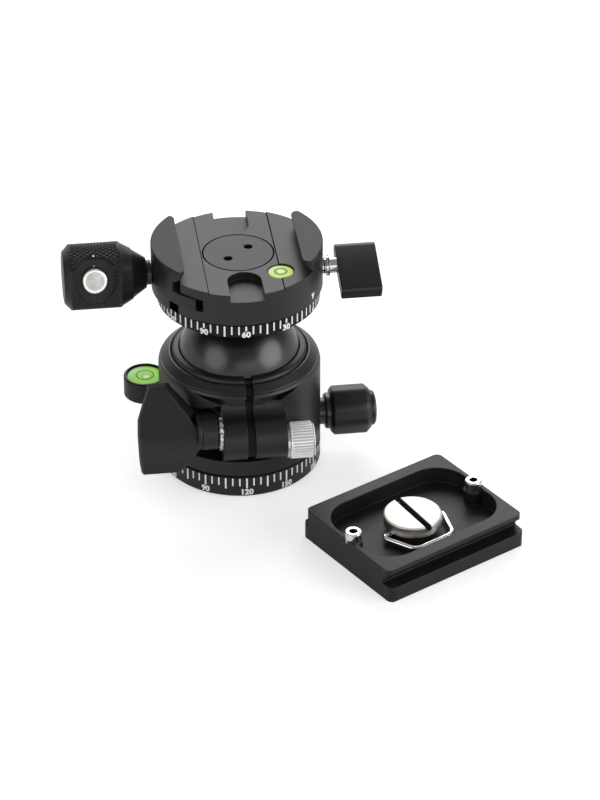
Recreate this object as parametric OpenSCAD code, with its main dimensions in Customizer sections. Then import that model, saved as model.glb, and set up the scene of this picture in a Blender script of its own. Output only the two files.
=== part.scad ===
// Low-profile tripod ball head with a round quick-release clamp, and its camera plate.
// +Z is up, the tripod thread's mouth is at the origin, and the clamp lug of the housing faces -Y.

/* [Base] */
// Radius of the base disc and of the housing
base_r = 23.9; // [22:0.1:26]
// Height of the graduated base disc
dial_h = 6.8; // [6:0.1:8]
// Gap between the base disc and the housing that turns on it
pan_gap = 0.4; // [0.3:0.1:0.6]
// Radius of the hub that the housing turns on
hub_r = 9.6; // [9:0.1:10]
// Height of the hub above the base disc
hub_h = 7; // [6.5:0.1:7.1]
// Radius of the steel thread insert
insert_r = 6.4; // [6:0.1:7]
// Wall radius of the 3/8 inch tripod thread
thread_r = 4; // [3.9:0.1:4.2]
// Wall radius of the insert's hole above the thread
relief_r = 4.6; // [4.3:0.1:5]
// Length of the tripod thread
thread_len = 10; // [8:0.5:11]
// Thickness of the retaining ring that holds the housing on the hub
clip_t = 0.8; // [0.6:0.1:1]

/* [Housing] */
// Height of the housing's outer shoulder above the table
shoulder_z = 34.9; // [34.7:0.1:35.4]
// Step in of the shoulder's rounded edge from the wall
shoulder_in = 0.6; // [0.4:0.1:0.8]
// Height of the housing's top at its inner seam
crown_z = 37.1; // [36.8:0.1:38.5]
// Height of the floor of the front recess
foot_z = 12.4; // [11.8:0.1:13]
// Height of the ceiling of the front recess, under the rim
recess_top_z = 34; // [33.6:0.1:34.2]
// Width of the groove between the housing's crown and the collar ring
seam_w = 0.5; // [0.3:0.1:0.6]
// Height of the ceiling over the lock collar
pocket_top_z = 29.4; // [29.3:0.1:30]
// Distance of the recess's back wall from the axis
recess_back = 15.9; // [15.5:0.1:16]
// Least wall between the ball cavity and the recess
cavity_wall = 0.8; // [0.7:0.1:1]
// Width of the clamping slit
slit_w = 2.4; // [2:0.1:3]
// Offset of the slit from the centre
slit_x = 0.5; // [0:0.1:1]
// Left end of the clamp lug
lug_x0 = -7.7; // [-8.2:0.1:-7.5]
// Right end of the clamp lug
lug_x1 = 11; // [10.5:0.1:11.5]
// Radius of the clamp lug
lug_r = 7; // [6.8:0.1:7.3]
// Distance of the lug's axis in front of the centre
lug_y = 21.5; // [21:0.1:22]
// Height of the lug's axis
lug_z = 20.2; // [19.8:0.1:20.6]
// Radius of the fillet above the lug
lug_fillet = 4; // [3:0.1:4.5]

/* [Ball] */
// Radius of the ball
ball_r = 18.2; // [18:0.05:18.3]
// Height of the ball's centre
ball_z = 34; // [33.8:0.1:34.4]
// Thickness of the liner cup under the ball
liner_t = 0.8; // [0.6:0.05:0.9]
// Height of the liner cup's rim below the ball's centre
liner_drop = 12; // [11.5:0.5:14]
// Outer radius of the collar ring around the ball
collar_r = 19.9; // [19.7:0.05:20]
// Height of the collar ring's top edge
collar_top_z = 38.2; // [38:0.1:38.6]
// Height of the ledge that the collar ring sits on
collar_seat_z = 34.8; // [34.6:0.1:35]
// Radius of the ball's neck
neck_r = 8.5; // [8:0.1:9.5]

/* [Main lock] */
// Distance of the lock screw in front of the centre
lock_y = 22.5; // [22.4:0.1:22.8]
// Height of the lock screw
lock_z = 23.4; // [23.1:0.1:23.5]
// Radius of the lock screw
lock_screw_r = 2.5; // [2.2:0.1:2.6]
// Radius of the silver thrust washer
lock_washer_r = 6.1; // [5.8:0.1:6.2]
// Thickness of the silver thrust washer
lock_washer_t = 1.3; // [1:0.1:1.5]
// Radius of the collar between washer and paddle
lock_collar_r = 5.5; // [5.2:0.1:5.7]
// Length of the collar between washer and paddle
lock_collar_len = 4.6; // [4:0.1:5]
// Length of the paddle along its axis
paddle_len = 18.9; // [18.5:0.1:21]
// Reach of the paddle above its axis
paddle_up = 14.9; // [14:0.1:15.5]
// Reach of the paddle below its axis
paddle_down = 11.6; // [11:0.1:12.5]
// Thickness of the paddle
paddle_t = 6.8; // [6:0.1:7]
// Lean of the paddle back from vertical
paddle_lean = 33; // [30:1:36]

/* [Friction knob] */
// Distance of the friction screw in front of the centre
friction_y = 22.5; // [22.3:0.1:22.8]
// Height of the friction screw
friction_z = 18.1; // [18:0.05:18.15]
// Radius of the friction screw
friction_screw_r = 1.9; // [1.6:0.1:2]
// Radius of the friction knob
friction_r = 5.4; // [5:0.1:5.5]
// Length of the friction knob
friction_len = 7.4; // [7:0.1:8]
// Thickness of the friction knob's washer
friction_washer_t = 0.8; // [0.6:0.1:1]
// Number of knurl grooves around the friction knob
friction_teeth = 36; // [24:4:40]

/* [Pan lock] */
// Height of the pan lock screw
pan_lock_z = 12.8; // [12.6:0.1:13]
// Radius of the pan lock screw's shank
pan_shank_r = 4; // [3.8:0.1:4.2]
// Radius of the pan lock screw's thread
pan_thread_r = 2.4; // [2:0.1:2.6]
// Distance from the housing's wall to the pan lock knob's inner face
pan_knob_gap = 3; // [2.7:0.1:3.6]
// Radius of the pan lock knob
pan_knob_r = 7.4; // [7:0.1:7.6]
// Length of the pan lock knob
pan_knob_len = 11.6; // [11:0.1:12.5]
// Radius of the pan lock knob's end cap
pan_cap_r = 5.3; // [5:0.1:5.6]
// Height of the pan lock knob's end cap
pan_cap_h = 2.4; // [2:0.1:3]
// Number of flutes around the pan lock knob
pan_flutes = 8; // [6:1:10]
// Radius of the flange behind the pan lock knob
pan_flange_r = 5.4; // [5:0.1:5.8]
// Thickness of the flange behind the pan lock knob
pan_flange_t = 1.6; // [1.2:0.1:1.8]

/* [Level] */
// Radius of the level's cup
level_r = 6.4; // [6:0.1:6.8]
// Height of the level's cup
level_h = 6.8; // [6:0.1:7.5]
// Height of the top of the level's cup
level_top_z = 24; // [23:0.1:25]
// Distance of the level from the axis
level_dist = 28.9; // [28.5:0.1:29.3]
// Bearing of the level around the axis
level_bearing = 160.5; // [158:0.5:165]
// Wall of the level's cup
level_wall = 0.8; // [0.6:0.1:1.2]

/* [Top pan] */
// Height of the underside of the graduated top ring
ring_z = 54.8; // [54.5:0.1:55.5]
// Thickness of the graduated top ring
ring_h = 4.2; // [4:0.1:4.4]
// Radius of the graduated top ring
ring_r = 23.7; // [23:0.1:24]
// Gap between the top ring and the clamp
ring_gap = 0.3; // [0.2:0.05:0.4]
// Radius of the spigot that the clamp turns on
spigot_r = 7.2; // [7:0.1:7.4]
// Height of the spigot
spigot_h = 8.4; // [8.2:0.1:8.6]
// Radius of the cap over the spigot
cap_r = 10.2; // [9.9:0.1:10.5]

/* [Clamp] */
// Radius of the clamp
clamp_r = 24.5; // [24.4:0.1:25]
// Height of the clamp's bed
bed_z = 69.7; // [69.5:0.1:70]
// Height of the tops of the jaws
jaw_top_z = 73.6; // [73.3:0.1:74]
// Distance from the centre to the fixed jaw's top edge
grip_x = 17.1; // [16.9:0.1:17.3]
// Height of the upright land on each jaw
jaw_land = 0.7; // [0.5:0.1:0.9]
// Depth of the 45 degree undercut below each jaw
undercut = 3.1; // [2.8:0.1:3.1]
// Half the length of the fixed jaw
fixed_half = 14.6; // [14:0.1:15]
// Half the length of the moving jaw
moving_half = 16.6; // [16:0.1:17]
// Half the width of the lowered bed
bed_half = 10.8; // [10.5:0.1:11]
// Depth of the lowered bed
bed_drop = 0.3; // [0.2:0.05:0.4]
// Half the width of the end notches
notch_half = 4.9; // [4.5:0.1:5.2]
// Depth of the end notches
notch_depth = 2.5; // [2:0.1:2.6]
// Distance from the centre to the inner end of the notches
notch_reach = 11.2; // [11:0.1:12]

// Radius of the clamp's vial
vial_r = 3.9; // [3.5:0.1:4.1]
// Distance of the clamp's vial to the right of the centre
vial_x = 10.9; // [10.5:0.1:11.2]
// Distance of the clamp's vial in front of the centre
vial_y = 12.2; // [12:0.1:12.6]
// Depth of the clamp's vial below the bed
vial_depth = 4; // [3:0.1:4.5]

/* [Jaw] */
// Distance from the centre to the bed's open edge
bed_edge_x = 18.4; // [18.2:0.1:18.6]
// Gap that the jaw stands open by in each step
jaw_open = 2.1; // [2:0.1:2.2]
// Length of the jaw's tongue
tongue_len = 6; // [5.5:0.1:6.2]
// Thickness of the jaw's tongue
tongue_t = 3.7; // [3.5:0.1:3.8]
// Height of the underside of the jaw's tongue
tongue_z = 62.9; // [62.8:0.1:63.1]
// Shift of the jaw's outer face from the clamp's edge
jaw_shift = 0.9; // [0.6:0.1:1.2]
// Radius of the two guide pins
guide_r = 1.25; // [1:0.05:1.4]
// Distance of the guide pins from the centre line
guide_y = 11.5; // [11:0.5:12]

/* [Clamp knob] */
// Height of the clamp knob's axis
knob_z = 64.8; // [64.7:0.05:64.85]
// Distance from the centre to the knob's inner shoulder
knob_x = 34.2; // [34:0.1:35]
// Length of the knurled part of the knob
knob_len = 16.6; // [16:0.1:18]
// Radius of the knurled part of the knob
knob_r = 9.6; // [9:0.1:9.8]
// Chamfer at the knob's outer end
knob_chamfer = 2; // [1.5:0.1:2.5]
// Radius of the clamp screw
clamp_screw_r = 1.9; // [1.7:0.05:1.95]
// Radius of the release button
button_r = 3.6; // [3.2:0.1:3.8]
// Radius of the flat around the release button
button_flat_r = 6.4; // [6:0.1:6.6]
// Height of the release button above its flat
button_proud = 1.6; // [1.5:0.1:1.8]
// Direction of the release button above the horizon
button_tilt = 20; // [0:1:40]

/* [Lever] */
// Height of the lever's shaft
lever_z = 63.1; // [63:0.1:63.3]
// Radius of the lever's shaft
lever_shaft_r = 2.3; // [2:0.1:2.4]
// Distance from the centre to the lever's inner face
lever_x = 28.7; // [28.4:0.1:30]
// Width of the lever's wing along its shaft
wing_w = 12; // [11:0.1:12.5]
// Thickness of the lever's wing
wing_t = 4.4; // [4:0.1:5]
// Reach of the wing in front of its shaft
wing_front = 11.8; // [11:0.1:13]
// Reach of the wing behind its shaft
wing_back = 7; // [6:0.1:8]
// Droop of the wing below horizontal
wing_droop = 17; // [0:1:30]

/* [Plate] */
// Distance of the plate's centre to the right of the head
plate_x = 44.3; // [44:0.1:50]
// Distance of the plate's centre in front of the head
plate_y = 51.6; // [51:0.1:56]
// Turn of the plate on the table
plate_turn = 29; // [20:1:40]
// Length of the plate
plate_len = 48.6; // [47:0.1:52]
// Width of the plate's dovetail
dovetail_w = 39; // [38:0.1:40]
// Width of the plate's camera flange
flange_w = 42.2; // [41:0.1:43]
// Thickness of the camera flange
flange_t = 4.9; // [4.5:0.1:5.2]
// Height of the plate
plate_h = 10; // [9.5:0.1:11]
// Depth of the dovetail grooves
groove_depth = 2.9; // [2.5:0.1:3.2]
// Thickness of the upright land on the dovetail
dovetail_land = 1.4; // [1:0.1:1.8]
// Radius of the plate's corners
plate_corner_r = 2.2; // [1.5:0.1:3]
// Length of the recess in the plate
recess_len = 46; // [45:0.1:46.4]
// Width of the recess in the plate
recess_w = 31; // [30:0.1:31.2]
// Radius of the recess's corners
recess_corner_r = 9.5; // [8:0.1:11]
// Thickness of the plate under the recess
recess_floor = 5; // [4.8:0.1:5.4]
// Radius of the camera screw's head
head_r = 8.4; // [8:0.1:8.8]
// Thickness of the camera screw's head
head_t = 3.3; // [3:0.1:3.4]
// Height of the top of the camera screw's head
head_top_z = 10.8; // [10.8:0.1:12]
// Radius of the 1/4 inch camera thread
camera_thread_r = 3.15; // [3:0.05:3.2]
// Offset of the camera screw along the plate
screw_u = -1.3; // [-2:0.1:2]
// Offset of the camera screw across the plate
screw_v = -1.1; // [-1.3:0.1:1]
// Radius of the finger ring's wire
wire_r = 0.75; // [0.6:0.05:0.8]
// Distance from the screw's centre to each of the finger ring's pivots
ring_wire_r = 11; // [10.6:0.1:11.4]
// Reach of the finger ring in front of its pivots
ring_reach = 10.4; // [9.8:0.1:10.8]
// Lean of the finger ring's arms
ring_lean = 22; // [15:1:26]
// Radius of the finger ring's front bends
ring_bend_r = 3; // [2.5:0.1:3.5]
// Height of the finger ring's wire
wire_z = 6.5; // [6.4:0.05:6.55]
// Radius of the camera screw's neck, which the ring pivots in
screw_neck_r = 4.4; // [4.2:0.1:4.8]
// Radius of the stop screws' heads
stop_r = 2.45; // [2.2:0.05:2.6]
// Height of the stop screws' heads above the plate
stop_h = 3.2; // [2.5:0.1:3.5]
// Radius of the bosses that the stop screws stand in
stop_boss_r = 2.75; // [2.65:0.05:3]

/* [Fits] */
// Radial clearance of a shaft in its hole
run_fit = 0.05; // [0.03:0.01:0.08]
// Clearance between pieces that are screwed or pressed together
seat_fit = 0.02; // [0.01:0.01:0.05]
// Clearance between round pieces that move past each other
move_gap = 0.2; // [0.15:0.05:0.25]
// Small chamfer on turned edges
edge = 0.4; // [0.2:0.1:0.6]

/* [Hidden] */
$fn = 96;
far = 60;
housing_z = dial_h + pan_gap;
hub_top = dial_h + hub_h;
clip_z = housing_z + 1.4;
clip_out = hub_r + 1.3;
socket_r = ball_r + move_gap;
cavity_r = socket_r + liner_t + move_gap;
neck_wall_r = cavity_r + cavity_wall;
rim_r = collar_r + 1;
pan_knob_x = base_r + pan_knob_gap;
lock_x = lug_x0 - lock_washer_t;
collar_end_x = lock_x - lock_collar_len;
paddle_x = collar_end_x - paddle_len;
friction_x = lug_x1 + friction_washer_t;
ring_top = ring_z + ring_h;
clamp_z = ring_top + ring_gap;
spigot_top = ring_top + spigot_h;
cap_z = spigot_top;
cap_top = bed_z - bed_drop;
screw_head_r = 4.6;
corner_x = grip_x + undercut;
jaw_face_x = bed_edge_x + jaw_open;
guide_x = bed_edge_x + 0.9;
guide_z = tongue_z + tongue_t / 2;
tongue_tip = bed_edge_x + jaw_open - tongue_len;
guide_x1 = 4 - (tongue_tip - jaw_open);
tongue_top = tongue_z + tongue_t;
button_flat = sqrt(knob_r * knob_r - button_flat_r * button_flat_r) + 0.08;
button_x = -(knob_x + knob_len / 2 - 0.4);
head_z = head_top_z - head_t;

// A round bar along X from x0 to x1.
module bar(r, x0, x1, y = 0, z = 0) {
    translate([x0, y, z]) rotate([0, 90, 0]) cylinder(r = r, h = x1 - x0);
}

// A round bar along X whose ends are chamfered by c.
module turned_bar(r, x0, x1, c0, c1, y = 0, z = 0) {
    translate([x0, y, z]) rotate([0, 90, 0]) rotate_extrude()
        polygon([[0, 0], [r - c0, 0], [r, c0], [r, x1 - x0 - c1], [r - c1, x1 - x0], [0, x1 - x0]]);
}

// A ring or disc about Z, turned with chamfered outer edges.
module turned_disc(r, z0, z1, c0 = edge, c1 = edge) {
    rotate_extrude()
        polygon([[0, z0], [r - c0, z0], [r, z0 + c0], [r, z1 - c1], [r - c1, z1], [0, z1]]);
}

// A rounded rectangle in the XY plane.
module rounded_rect(l, w, r) {
    square([l - 2 * r, w], center = true);
    square([l, w - 2 * r], center = true);
    for (x = [-1, 1], y = [-1, 1])
        translate([x * (l / 2 - r), y * (w / 2 - r)]) circle(r);
}

// Extrudes a profile drawn in X and Z along Y, from y0 to y1.
module along_y(y0, y1) {
    translate([0, y1, 0]) rotate([90, 0, 0]) linear_extrude(y1 - y0) children();
}

// Extrudes a profile drawn in Y and Z along X, from x0 to x1.
module along_x(x0, x1) {
    translate([x0, 0, 0]) rotate([90, 0, 90]) linear_extrude(x1 - x0) children();
}

// ---- base, fixed to the tripod ----
module base_disc() {
    color("dimgray") difference() {
        union() {
            turned_disc(base_r, 0, dial_h, 0.8, edge);
            cylinder(r = hub_r, h = hub_top);
        }
        translate([0, 0, -1]) cylinder(r = insert_r + seat_fit, h = hub_top + 2);
        translate([0, 0, clip_z]) difference() {
            cylinder(r = clip_out, h = clip_t);
            cylinder(r = hub_r - 0.7, h = clip_t);
        }
        for (r = [insert_r + 3, base_r - 4]) difference() {
            translate([0, 0, -1]) cylinder(r = r + 0.5, h = 1.4);
            translate([0, 0, -1]) cylinder(r = r - 0.5, h = 1.4);
        }
    }
}

module thread_insert() {
    color("silver") difference() {
        cylinder(r = insert_r, h = hub_top - 1);
        translate([0, 0, -1]) cylinder(r = thread_r, h = thread_len + 1);
        translate([0, 0, thread_len]) cylinder(r = relief_r, h = hub_top);
    }
}

module retaining_ring() {
    color("silver") translate([0, 0, clip_z + seat_fit]) difference() {
        cylinder(r = clip_out - move_gap, h = clip_t - 2 * seat_fit);
        translate([0, 0, -1]) cylinder(r = hub_r - 0.7 + seat_fit, h = clip_t + 2);
        translate([0, -2, -1]) cube([far, 4, clip_t + 2]);
    }
}

module pan_washer() {
    color("ivory") translate([0, 0, dial_h]) difference() {
        cylinder(r = base_r - 1.4, h = pan_gap);
        translate([0, 0, -1]) cylinder(r = hub_r + 1.4, h = pan_gap + 2);
    }
}

// ---- housing, turns on the base ----
module housing_blank() {
    rotate_extrude() polygon([
        [0, housing_z], [base_r - edge, housing_z], [base_r, housing_z + edge],
        [base_r, shoulder_z - 3 * shoulder_in], [base_r - shoulder_in / 3, shoulder_z - 1.3 * shoulder_in],
        [base_r - shoulder_in, shoulder_z], [base_r - shoulder_in - 0.3, shoulder_z],
        [base_r - shoulder_in - 0.6, shoulder_z + 0.4], [collar_r + 2 * seam_w, crown_z - 0.1],
        [collar_r + seam_w, crown_z], [collar_r, crown_z - seam_w], [0, crown_z - seam_w]
    ]);
}

// The front recess as seen from the front: a flared opening over the lug, and the lock's pocket.
module recess_outline() {
    polygon([
        [lug_x0 - 7.8, recess_top_z], [lug_x1 + 4.6, recess_top_z], [lug_x1 - 1.2, recess_top_z - 2],
        [lug_x1, recess_top_z - 5.6], [lug_x1, foot_z], [-far, foot_z], [-far, pocket_top_z],
        [collar_end_x, pocket_top_z], [lug_x0, recess_top_z - 2.2]
    ]);
}

module recess() {
    difference() {
        along_y(-far, -recess_back) recess_outline();
        translate([0, 0, ball_z]) sphere(r = neck_wall_r);
        translate([0, 0, recess_top_z - 4]) cylinder(r = rim_r, h = 8);
    }
}

// The lug's side outline, with a fillet that is tangent to the lug and to the wall behind it.
module lug_outline() {
    wall_y = -neck_wall_r;
    fillet_y = wall_y - lug_fillet;
    fillet_z = lug_z + sqrt(pow(lug_r + lug_fillet, 2) - pow(fillet_y + lug_y, 2));
    translate([-lug_y, lug_z]) circle(lug_r);
    translate([-lug_y, lug_z - lug_r]) square([lug_y - recess_back + 1, 2 * lug_r]);
    difference() {
        polygon([[wall_y + 3, fillet_z], [fillet_y, fillet_z], [-lug_y, lug_z], [wall_y + 3, lug_z]]);
        translate([fillet_y, fillet_z]) circle(lug_fillet);
    }
}

module housing() {
    color("dimgray") difference() {
        union() {
            difference() {
                housing_blank();
                recess();
            }
            along_x(lug_x0, lug_x1) lug_outline();
        }
        translate([0, 0, ball_z]) sphere(r = cavity_r);
        translate([0, 0, collar_seat_z]) cylinder(r = collar_r + seat_fit, h = far);
        cylinder(r = hub_r + run_fit, h = ball_z);
        translate([0, 0, clip_z - move_gap]) cylinder(r = clip_out, h = clip_t + 2 * move_gap);
        translate([slit_x - slit_w / 2, -far, foot_z]) cube([slit_w, far - recess_back + 4, far]);
        bar(lock_screw_r + run_fit, lug_x0 - 1, lug_x1 - 2, -lock_y, lock_z);
        bar(friction_screw_r + run_fit, slit_x, lug_x1 + 1, -friction_y, friction_z);
        bar(friction_r + move_gap, lug_x1, far, -friction_y, friction_z);
        bar(pan_shank_r + run_fit, base_r - 5, far, 0, pan_lock_z);
        bar(pan_thread_r + run_fit, 0, far, 0, pan_lock_z);
        level_place() cylinder(r = level_r + seat_fit, h = level_h);
    }
}

module ball_collar() {
    color("dimgray") difference() {
        rotate_extrude() polygon([
            [0, collar_seat_z], [collar_r, collar_seat_z], [collar_r, crown_z - seam_w / 2],
            [collar_r - 0.3, crown_z + 0.5], [collar_r - 0.7, crown_z + 0.8], [socket_r - 0.2, collar_top_z], [0, collar_top_z]
        ]);
        translate([0, 0, ball_z]) sphere(r = socket_r);
        translate([slit_x - slit_w / 2, -far, 0]) cube([slit_w, far, far]);
    }
}

module level_place() {
    rotate(level_bearing) translate([level_dist, 0, level_top_z - level_h]) rotate(-level_bearing) children();
}

module level_cup() {
    color("dimgray") level_place() difference() {
        turned_disc(level_r, 0, level_h);
        translate([0, 0, level_h / 2]) cylinder(r = level_r - level_wall, h = level_h);
    }
}

module level_vial() {
    color("greenyellow") level_place() translate([0, 0, level_h / 2])
        cylinder(r = level_r - level_wall - seat_fit, h = level_h / 2 - 0.5);
}

// ---- main lock ----
module lock_washer() {
    color("silver") difference() {
        turned_bar(lock_washer_r, lock_x + seat_fit, lug_x0, 0.3, 0, -lock_y, lock_z);
        bar(lock_screw_r + run_fit, lock_x - 1, lug_x0 + 1, -lock_y, lock_z);
    }
}

module lock_screw() {
    color("silver") bar(lock_screw_r, collar_end_x - 9, lug_x1 - 3, -lock_y, lock_z);
}

module lock_collar() {
    color("dimgray") difference() {
        turned_bar(lock_collar_r, collar_end_x, lock_x, 0, edge, -lock_y, lock_z);
        bar(lock_screw_r + seat_fit, collar_end_x - 1, lock_x + 1, -lock_y, lock_z);
    }
}

// The paddle's outline along its axis: narrow beside the housing, wide outside it.
module paddle_outline() {
    polygon([
        [0, 1.5], [-4.2, 7], [-9.8, paddle_up], [-paddle_len + 2.3, paddle_up],
        [-paddle_len + 0.4, paddle_up * 0.45], [-paddle_len, 0], [-paddle_len, -paddle_down * 0.4],
        [-paddle_len + 0.6, -paddle_down + 0.7], [-paddle_len + 1.3, -paddle_down],
        [-8.4, -paddle_down], [-5, -10.2], [0, -5.2]
    ]);
}

// The paddle's cross-section: a flat front with bevels above and below, and a back that thins outwards.
module paddle_section() {
    front = paddle_t / 2;
    polygon([
        [-paddle_down, -1], [-paddle_down, 1], [-5.6, front], [11, front], [12.8, front - 0.7],
        [paddle_up, 1], [paddle_up, -0.6], [5, -front + 0.6], [-5, -front + 0.4]
    ]);
}

module lock_paddle() {
    color("dimgray") difference() {
        union() {
            translate([collar_end_x, -lock_y, lock_z]) rotate([90 - paddle_lean, 0, 0]) intersection() {
                translate([0, 0, -paddle_t]) linear_extrude(2 * paddle_t) paddle_outline();
                translate([-paddle_len, 0, 0]) rotate([90, 0, 90]) linear_extrude(paddle_len) paddle_section();
            }
            difference() {
                turned_bar(lock_collar_r - 0.2, collar_end_x - 5, collar_end_x, 1, edge, -lock_y, lock_z);
                translate([collar_end_x, -lock_y, lock_z]) rotate([90 - paddle_lean, 0, 0])
                    translate([-far, -far, paddle_t / 2 - 0.1]) cube(2 * far);
            }
        }
        bar(lock_screw_r + seat_fit, collar_end_x - 9 - seat_fit, collar_end_x + 1, -lock_y, lock_z);
    }
}

// ---- friction adjuster ----
module friction_washer() {
    color("silver") difference() {
        bar(friction_r - 0.3, lug_x1, friction_x - seat_fit, -friction_y, friction_z);
        bar(friction_screw_r + run_fit, 0, far, -friction_y, friction_z);
    }
}

module friction_screw() {
    color("silver") bar(friction_screw_r, slit_x + slit_w, friction_x + 5, -friction_y, friction_z);
}

module friction_knob() {
    groove_r = 0.28;
    color("silver") difference() {
        turned_bar(friction_r, friction_x, friction_x + friction_len, 0.3, 0.9, -friction_y, friction_z);
        bar(friction_screw_r + seat_fit, 0, friction_x + 5 + seat_fit, -friction_y, friction_z);
        for (i = [0 : friction_teeth - 1])
            translate([0, -friction_y, friction_z]) rotate([i * 360 / friction_teeth, 0, 0])
                bar(groove_r, friction_x + 0.7, friction_x + friction_len - 0.5, 0, friction_r);
    }
}

// ---- pan lock ----
module pan_lock_screw() {
    color("dimgray") {
        bar(pan_thread_r, hub_r + 3, base_r - 5, 0, pan_lock_z);
        turned_bar(pan_shank_r, base_r - 5, pan_knob_x - pan_flange_t, edge, 0, 0, pan_lock_z);
        turned_bar(pan_flange_r, pan_knob_x - pan_flange_t, pan_knob_x, edge, 0, 0, pan_lock_z);
        bar(pan_thread_r, pan_knob_x, pan_knob_x + pan_knob_len - 3, 0, pan_lock_z);
    }
}

module pan_lock_knob() {
    flute_r = 3.6;
    color("dimgray") difference() {
        turned_bar(pan_knob_r, pan_knob_x, pan_knob_x + pan_knob_len, 0.8, 1.4, 0, pan_lock_z);
        bar(pan_thread_r + seat_fit, pan_knob_x - 1, pan_knob_x + pan_knob_len - 3 + seat_fit, 0, pan_lock_z);
        for (i = [0 : pan_flutes - 1])
            translate([0, 0, pan_lock_z]) rotate([(i + 0.5) * 360 / pan_flutes, 0, 0])
                bar(flute_r, pan_knob_x - 1, far, 0, pan_knob_r + flute_r - 0.9);
    }
}

module pan_lock_cap() {
    x = pan_knob_x + pan_knob_len;
    color("dimgray") turned_bar(pan_cap_r, x, x + pan_cap_h, 0, 0.9, 0, pan_lock_z);
}

module pan_lock_shoe() {
    color("goldenrod") bar(pan_thread_r - run_fit, hub_r + 0.5, hub_r + 3 - seat_fit, 0, pan_lock_z);
}

// ---- ball and top pan ----
module ball_liner() {
    color("ivory") translate([0, 0, ball_z]) difference() {
        sphere(r = socket_r + liner_t);
        sphere(r = socket_r);
        translate([-far, -far, -liner_drop]) cube([2 * far, 2 * far, far]);
    }
}

module ball() {
    color("black") difference() {
        union() {
            translate([0, 0, ball_z]) sphere(r = ball_r);
            translate([0, 0, ball_z]) cylinder(r = neck_r, h = ring_z - ball_z);
        }
        translate([0, 0, ring_z - 11]) cylinder(r = 3, h = far);
    }
}

module stem_screw() {
    color("silver") difference() {
        union() {
            translate([0, 0, ring_z - 10]) cylinder(r = 3 - seat_fit, h = spigot_top - 4 - ring_z + 10);
            translate([0, 0, spigot_top - 4]) cylinder(r = screw_head_r, h = 3.6);
        }
        translate([0, 0, spigot_top - 3]) cylinder(r = 2.3, h = 4, $fn = 6);
    }
}

module top_ring() {
    color("dimgray") difference() {
        union() {
            turned_disc(ring_r, ring_z, ring_top, 0.6, 0.2);
            translate([0, 0, ring_z]) cylinder(r = spigot_r, h = spigot_top - ring_z);
        }
        cylinder(r = 3 + seat_fit, h = far + 20);
        translate([0, 0, spigot_top - 4]) cylinder(r = screw_head_r + seat_fit, h = 5);
    }
}

module centre_cap() {
    color("dimgray") difference() {
        translate([0, 0, cap_z]) cylinder(r = cap_r, h = cap_top - cap_z);
        for (a = [42.5, 222.5]) rotate(a) translate([4.4, 0, cap_top - 1.4]) cylinder(r = 1.3, h = 3);
    }
}

// ---- clamp ----
module clamp_disc(r, shift = 0) {
    translate([shift, 0, 0]) turned_disc(r, clamp_z, jaw_top_z, 0.3, 0.3);
}

// The dovetail channel's section up to one jaw: a 45 degree undercut below an upright land.
module channel() {
    polygon([
        [-far, bed_z], [corner_x, bed_z], [corner_x, jaw_top_z - jaw_land - undercut],
        [grip_x, jaw_top_z - jaw_land], [grip_x, 2 * far], [-far, 2 * far]
    ]);
}

// Rounds the free ends of a jaw whose top edge is at grip_x.
module jaw_ends(half) {
    for (y = [0, 1]) mirror([0, y, 0]) difference() {
        translate([grip_x - 6, half - 1.8, bed_z]) cube([far, far, far]);
        translate([grip_x + 1.8, half - 1.8, 0]) cylinder(r = 1.8, h = 2 * far);
        translate([grip_x + 1.8, half - 4, 0]) cube([3.4, 4, 2 * far]);
    }
}

module notch() {
    y = notch_reach + notch_half;
    translate([0, -y, bed_z - notch_depth]) cylinder(r = notch_half, h = far);
    translate([-notch_half, -far, bed_z - notch_depth]) cube([2 * notch_half, far - y, far]);
}

// The stepped slot that the moving jaw's tongue and foot run in.
module jaw_slot() {
    mirror([1, 0, 0]) {
        translate([bed_edge_x, -far, tongue_z - 0.1]) cube([far, 2 * far, far]);
        translate([tongue_tip - jaw_open, -far, tongue_z - 0.1]) cube([far, 2 * far, tongue_t + 0.2]);
        translate([bed_edge_x + 0.5, -far, 0]) cube([far, 2 * far, far * 2]);
    }
}

module clamp_base() {
    color("dimgray") difference() {
        clamp_disc(clamp_r);
        along_y(-far, far) channel();
        jaw_ends(fixed_half);
        jaw_slot();
        translate([-bed_half, -far, cap_top]) cube([2 * bed_half, 2 * far, 1]);
        for (a = [0, 180]) rotate(a) notch();
        cylinder(r = spigot_r + run_fit, h = spigot_top + 0.1);
        translate([0, 0, cap_z - 0.1]) cylinder(r = cap_r + move_gap, h = far);
        translate([vial_x, -vial_y, bed_z - vial_depth]) cylinder(r = vial_r + seat_fit, h = far);
        bar(clamp_screw_r + run_fit, -far, 0, 0, knob_z);
        bar(lever_shaft_r + run_fit, 0, far, 0, lever_z);
        for (y = [-1, 1]) bar(guide_r + seat_fit, -far, guide_x1 + seat_fit, y * guide_y, guide_z);
    }
}

module guide_pins() {
    color("silver") for (y = [-1, 1]) bar(guide_r, -guide_x, guide_x1, y * guide_y, guide_z);
}

module clamp_vial() {
    color("greenyellow") translate([vial_x, -vial_y, bed_z - vial_depth])
        cylinder(r = vial_r, h = vial_depth - bed_drop);
}

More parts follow.
